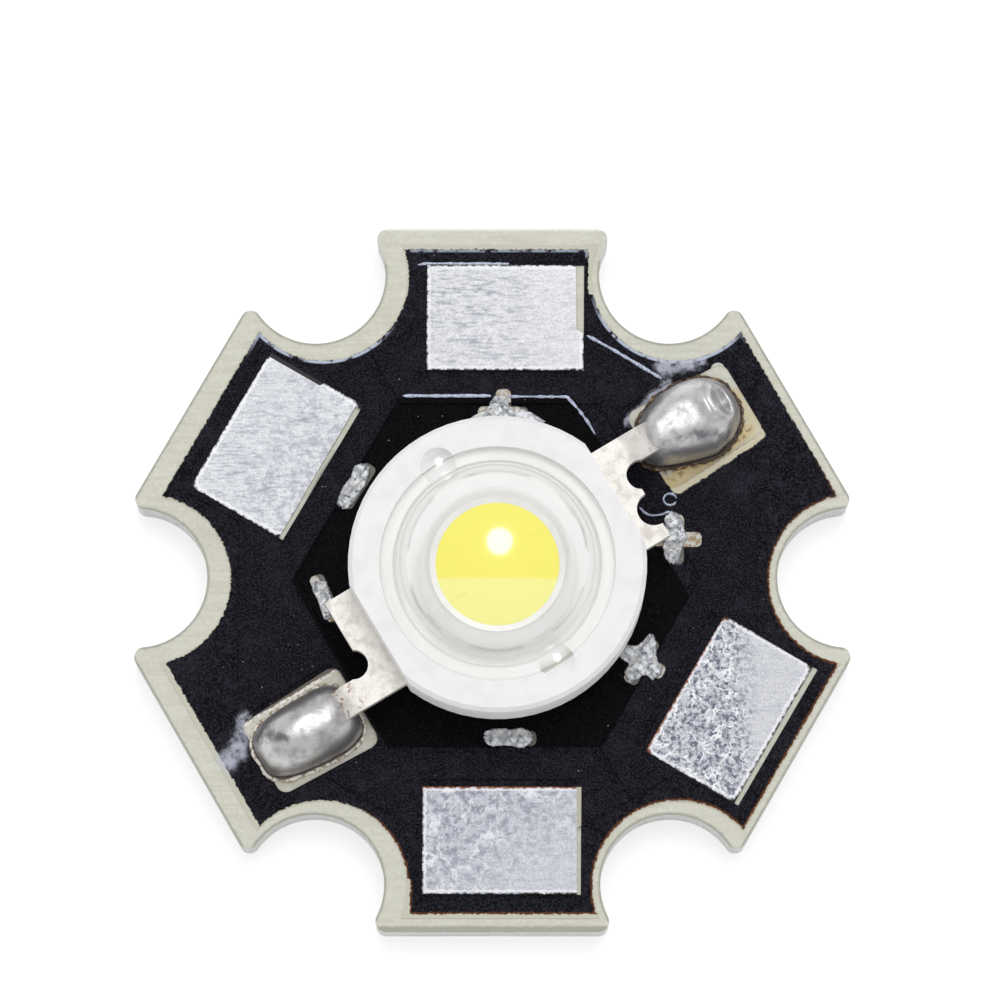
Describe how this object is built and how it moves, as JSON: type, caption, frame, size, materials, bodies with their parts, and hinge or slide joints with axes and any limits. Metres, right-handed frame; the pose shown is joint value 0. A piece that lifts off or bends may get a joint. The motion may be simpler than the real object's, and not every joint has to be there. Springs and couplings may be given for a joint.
{
  "type": "high power led",
  "caption": "Domed high power LED emitter soldered to a six-armed metal-core star board with solder pads and half-round screw notches.",
  "frame": {"origin": "middle of the star board's underside", "axes": "+Z out of the board towards the lens, +Y towards the arm with the top wire pad, +X towards the notch between the upper right and lower right arms"},
  "size_m": [0.0204, 0.0202, 0.0074],
  "materials": {
    "aluminium": "punched aluminium sheet",
    "dielectric": "pale filled insulating resin",
    "copper": "copper foil",
    "solder_mask": "black satin solder mask",
    "tin": "mottled hot levelled tin",
    "solder": "bright solder with flux at its rim",
    "slug": "silver plated copper",
    "body": "white moulded plastic",
    "lead": "silver plated copper strip",
    "paste": "silver filled paste",
    "chip": "gallium nitride on sapphire",
    "phosphor": "yellow phosphor in silicone",
    "gold": "gold wire",
    "silicone": "clear silicone",
    "lens": "clear moulded lens"
  },
  "bodies": {
    "root": {"aluminium_base": "aluminium", "dielectric": "dielectric", "copper_positive": "copper", "copper_negative": "copper", "thermal_pad": "copper", "solder_mask": "solder_mask", "tin_top": "tin", "tin_upper_left": "tin", "tin_bottom": "tin", "tin_lower_right": "tin", "plus_top": "tin", "plus_upper_right": "tin", "plus_lower_right": "tin", "minus_bottom": "tin", "minus_lower_left": "tin", "minus_upper_left": "tin", "solder_joint_anode": "solder", "solder_joint_cathode": "solder", "slug_solder": "solder", "heat_slug": "slug", "housing": "body", "anode_lead": "lead", "cathode_lead": "lead", "die_attach": "paste", "led_chip": "chip", "phosphor": "phosphor", "bond_wire_anode": "gold", "bond_wire_cathode": "gold", "silicone_fill": "silicone", "lens": "lens"}
  },
  "joints": []
}
